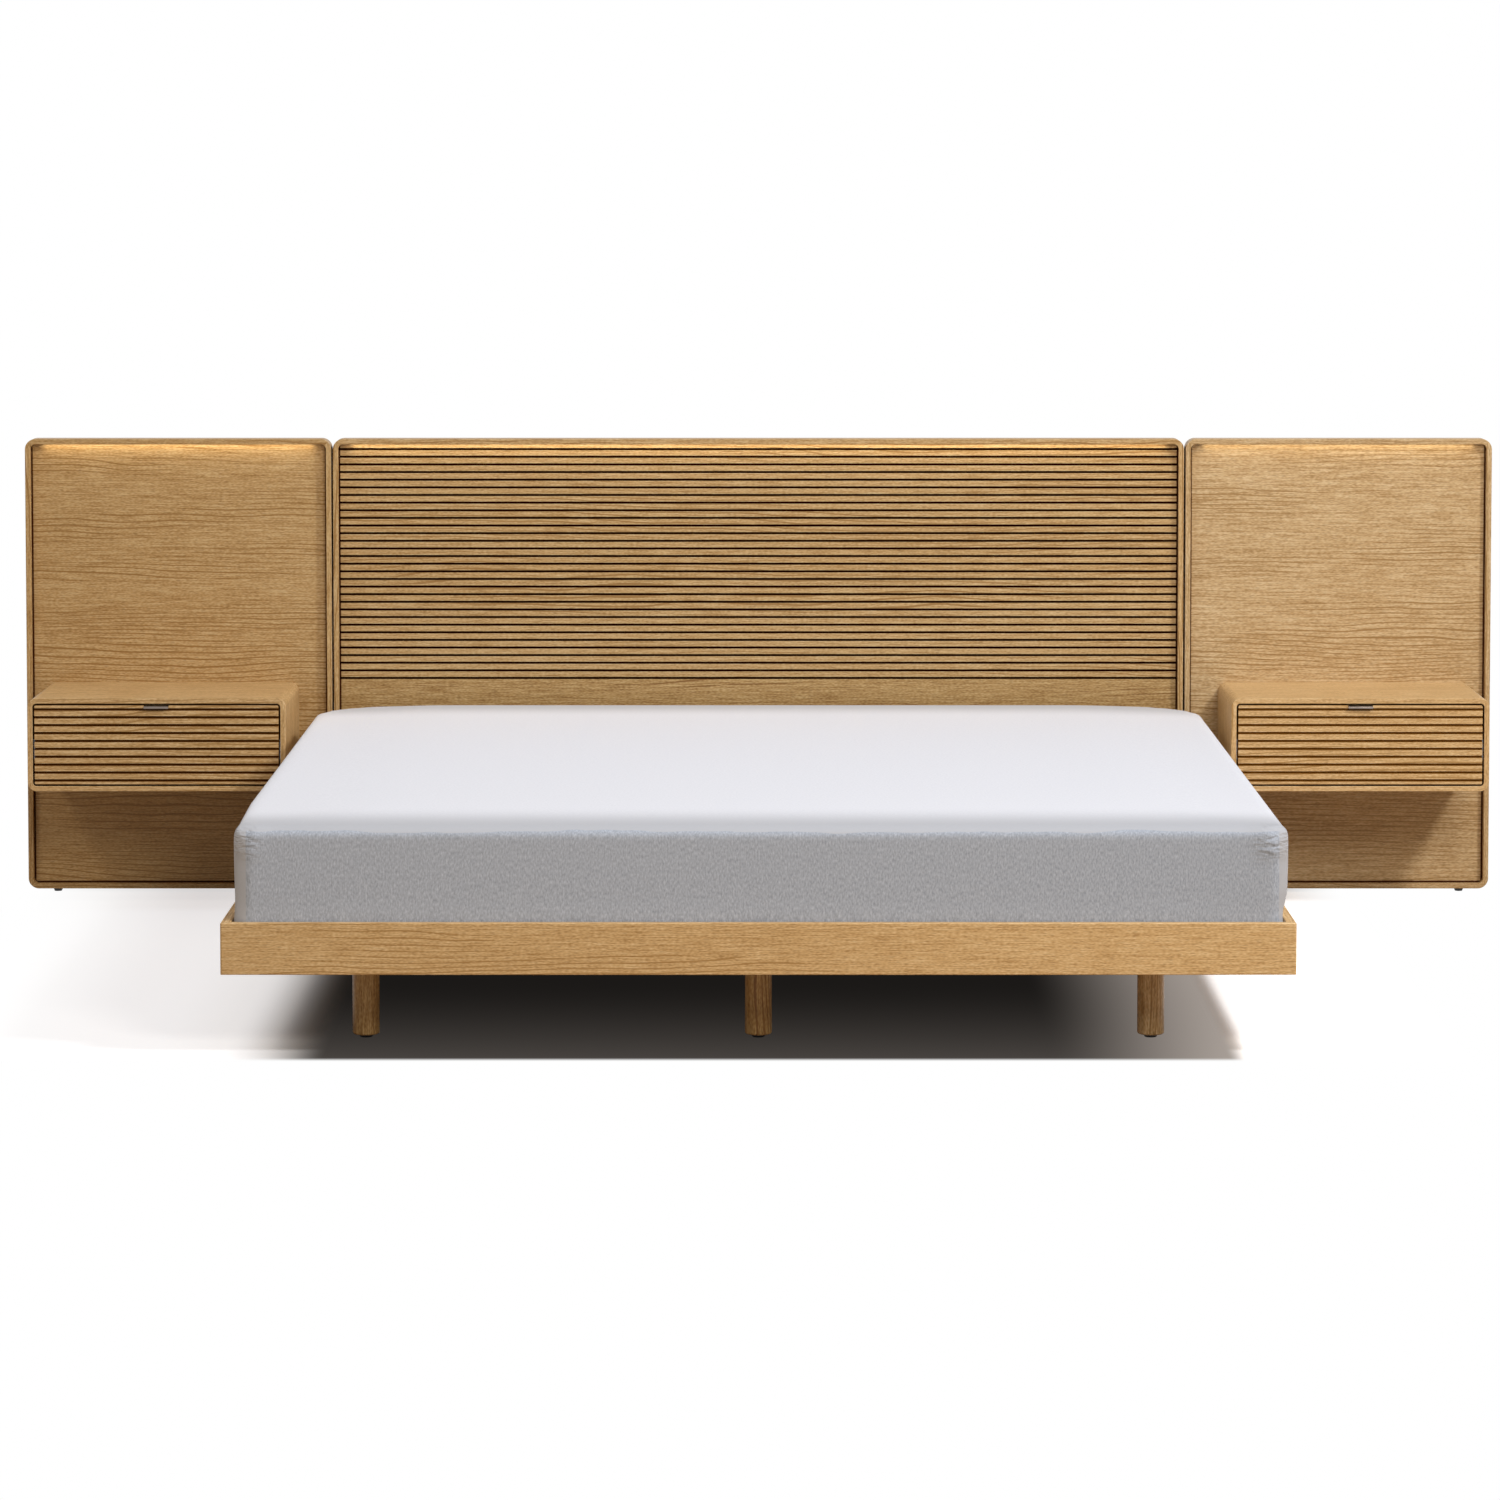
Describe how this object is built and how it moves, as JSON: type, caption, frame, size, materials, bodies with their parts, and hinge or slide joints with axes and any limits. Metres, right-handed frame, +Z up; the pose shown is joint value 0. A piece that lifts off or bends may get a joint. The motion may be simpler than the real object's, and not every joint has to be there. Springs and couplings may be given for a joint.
{
  "type": "bed with attached nightstands",
  "caption": "Low platform bed with a wide lit headboard of framed panels, a ribbed middle panel, and floating nightstands with a drawer on the outer panels.",
  "frame": {"origin": "on the floor, under the middle of the whole piece from side to side and from foot to wall", "axes": "+X to the right as seen from the foot, +Y from the foot towards the headboard, +Z up"},
  "size_m": [3.364, 2.075, 1.046],
  "materials": {
    "oak_veneer": "horizontal oak veneer, satin lacquer",
    "panel_veneer": "horizontal oak veneer, satin lacquer",
    "ribbed_oak": "oak ribs milled in one board, satin lacquer",
    "rim_oak": "solid oak lipping, satin lacquer",
    "case_oak": "oak veneer wrapped round the corners, satin lacquer",
    "drawer_front_oak": "solid oak milled in level grooves, satin lacquer",
    "leg_oak": "turned solid oak, satin lacquer",
    "pine": "planed pine, untreated",
    "birch_ply": "birch plywood, clear lacquer",
    "mattress_cover": "quilted white knit with a grey border",
    "zinc_plate": "zinc-plated steel",
    "runner_steel": "cold-rolled zinc-plated steel",
    "brushed_pull": "satin nickel",
    "black_nylon": "moulded black nylon",
    "light_channel": "extruded aluminium, plain",
    "light_diffuser": "opal acrylic strip, lit warm white from behind"
  },
  "bodies": {
    "bed": {"mattress": "mattress_cover", "foot_rail": "oak_veneer", "left_side_rail": "oak_veneer", "right_side_rail": "oak_veneer", "head_rail": "pine", "side_ledgers": "pine", "front_bearer": "pine", "rear_bearer": "pine", "centre_beam": "pine", "slats": "pine", "corner_brackets": "zinc_plate", "corner_screws": "zinc_plate", "front_left_leg": "leg_oak", "front_middle_leg": "leg_oak", "front_right_leg": "leg_oak", "rear_left_leg": "leg_oak", "rear_middle_leg": "leg_oak", "rear_right_leg": "leg_oak", "leg_plates": "zinc_plate", "leg_glides": "black_nylon", "left_board": "panel_veneer", "right_board": "panel_veneer", "slatted_board": "ribbed_oak", "lower_board": "panel_veneer", "left_rim": "rim_oak", "middle_rim": "rim_oak", "right_rim": "rim_oak", "rear_battens": "pine", "light_channels": "light_channel", "light_diffusers": "light_diffuser", "panel_connectors": "zinc_plate", "panel_spacers": "black_nylon", "panel_feet": "black_nylon", "bed_spacers": "pine", "bed_bolts": "zinc_plate", "case_bolts": "zinc_plate", "left_case": "case_oak", "left_case_back": "birch_ply", "left_case_runners": "runner_steel", "right_case": "case_oak", "right_case_back": "birch_ply", "right_case_runners": "runner_steel"},
    "left_runner": {"left_middle_runners": "runner_steel"},
    "left_drawer": {"left_drawer_front": "drawer_front_oak", "left_drawer_outer_side": "birch_ply", "left_drawer_inner_side": "birch_ply", "left_drawer_back": "birch_ply", "left_drawer_bottom": "birch_ply", "left_drawer_runners": "runner_steel", "left_drawer_pull": "brushed_pull"},
    "right_runner": {"right_middle_runners": "runner_steel"},
    "right_drawer": {"right_drawer_front": "drawer_front_oak", "right_drawer_outer_side": "birch_ply", "right_drawer_inner_side": "birch_ply", "right_drawer_back": "birch_ply", "right_drawer_bottom": "birch_ply", "right_drawer_runners": "runner_steel", "right_drawer_pull": "brushed_pull"}
  },
  "joints": [
    {"name": "left_drawer_slide", "type": "slide", "parent": "bed", "child": "left_drawer", "axis": [0, -1, 0], "range_m": [0, 0.272]},
    {"name": "left_runner_slide", "type": "slide", "parent": "bed", "child": "left_runner", "axis": [0, -1, 0], "range_m": [0, 0.136]},
    {"name": "right_drawer_slide", "type": "slide", "parent": "bed", "child": "right_drawer", "axis": [0, -1, 0], "range_m": [0, 0.272]},
    {"name": "right_runner_slide", "type": "slide", "parent": "bed", "child": "right_runner", "axis": [0, -1, 0], "range_m": [0, 0.136]}
  ],
  "couplings": [
    {"joint": "left_runner_slide", "follows": "left_drawer_slide", "ratio": 0.5},
    {"joint": "right_runner_slide", "follows": "right_drawer_slide", "ratio": 0.5}
  ]
}
